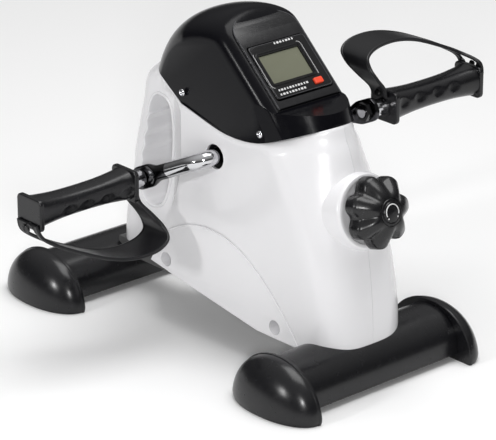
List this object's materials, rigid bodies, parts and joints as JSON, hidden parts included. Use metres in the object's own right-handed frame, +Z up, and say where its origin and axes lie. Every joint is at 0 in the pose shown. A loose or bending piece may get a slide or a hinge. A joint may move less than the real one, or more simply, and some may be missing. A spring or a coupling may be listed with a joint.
{
  "type": "pedal exerciser",
  "caption": "Small pedal exerciser with a carry handle in its casing, a slanted meter, a tension knob on its nose, a bent crank with strapped pedals and two cross feet.",
  "frame": {"origin": "on the floor, midway between the two feet and in the middle plane of the casing", "axes": "+Z up, +Y towards the carry handle, away from the user, +X to the right of someone who looks from the knob towards the handle; the crank turns about an axis along X"},
  "size_m": [0.4356, 0.446, 0.3239],
  "materials": {
    "white_plastic": "smooth, lightly glossy",
    "black_satin": "satin",
    "black_gloss": "glossy",
    "lcd": "grey-green display under a clear window",
    "button_red": "satin",
    "chrome": "polished",
    "steel": "zinc plated",
    "frame_paint": "black powder coat",
    "pulley_plastic": "moulded",
    "cast_iron": "turned",
    "rubber": "flexible, satin",
    "felt": "pressed felt"
  },
  "bodies": {
    "frame": {"base_rail": "frame_paint", "console_panel": "black_gloss", "drive_belt": "rubber", "front_cross_tube": "frame_paint", "front_foot_cover": "black_satin", "front_left_end_cap": "black_satin", "front_right_end_cap": "black_satin", "lcd_window": "lcd", "left_cover_screw_front": "chrome", "left_cover_screw_rear": "chrome", "left_crank_bearing": "steel", "left_frame_plate": "frame_paint", "left_shell": "white_plastic", "left_shell_screw_front": "steel", "left_shell_screw_rear": "steel", "meter_case": "black_gloss", "rear_cross_tube": "frame_paint", "rear_foot_cover": "black_satin", "rear_left_end_cap": "black_satin", "rear_right_end_cap": "black_satin", "right_cover_screw_front": "chrome", "right_cover_screw_rear": "chrome", "right_crank_bearing": "steel", "right_frame_plate": "frame_paint", "right_shell": "white_plastic", "right_shell_screw_front": "steel", "right_shell_screw_rear": "steel", "speed_sensor": "black_satin", "top_cover": "black_satin"},
    "crank": {"crank_bar": "chrome", "drive_wheel": "pulley_plastic", "speed_magnet": "steel", "left_pedal_spindle": "chrome", "right_pedal_spindle": "chrome", "left_spindle_nut": "steel", "right_spindle_nut": "steel"},
    "left_pedal": {"left_pedal_body": "black_satin", "left_foot_strap": "rubber", "left_strap_pin_inner": "black_gloss", "left_strap_pin_outer": "black_gloss"},
    "right_pedal": {"right_pedal_body": "black_satin", "right_foot_strap": "rubber", "right_strap_pin_inner": "black_gloss", "right_strap_pin_outer": "black_gloss"},
    "flywheel": {"flywheel": "cast_iron", "flywheel_axle": "steel", "belt_pulley": "pulley_plastic"},
    "knob": {"tension_knob": "black_gloss", "knob_cap": "black_satin", "tension_screw": "steel"},
    "brake": {"brake_shoe": "pulley_plastic", "brake_pad": "felt"},
    "button": {"mode_button": "button_red"}
  },
  "joints": [
    {"name": "crank_spin", "type": "hinge", "parent": "frame", "child": "crank", "pos_m": [0, -0.027, 0.19], "axis": [1, 0, 0], "continuous": true},
    {"name": "left_pedal_spin", "type": "hinge", "parent": "crank", "child": "left_pedal", "pos_m": [0, 0.04521, 0.15556], "axis": [1, 0, 0], "continuous": true},
    {"name": "right_pedal_spin", "type": "hinge", "parent": "crank", "child": "right_pedal", "pos_m": [0, -0.09921, 0.22444], "axis": [1, 0, 0], "continuous": true},
    {"name": "flywheel_spin", "type": "hinge", "parent": "frame", "child": "flywheel", "pos_m": [0, -0.09, 0.098], "axis": [1, 0, 0], "continuous": true},
    {"name": "knob_turn", "type": "hinge", "parent": "frame", "child": "knob", "pos_m": [0, -0.1712, 0.1655], "axis": [0, 0.9659, -0.2588], "range_deg": [0, 1440]},
    {"name": "brake_slide", "type": "slide", "parent": "frame", "child": "brake", "axis": [0, 0.9659, -0.2588], "range_m": [0, 0.005]},
    {"name": "mode_button_press", "type": "slide", "parent": "frame", "child": "button", "axis": [0, 0.6743, -0.7385], "range_m": [0, 0.0015], "stiffness_N_per_m": 300}
  ],
  "couplings": [
    {"joint": "flywheel_spin", "follows": "crank_spin", "ratio": 5.9231},
    {"joint": "brake_slide", "follows": "knob_turn", "m_per_rad": 0.0001989}
  ]
}
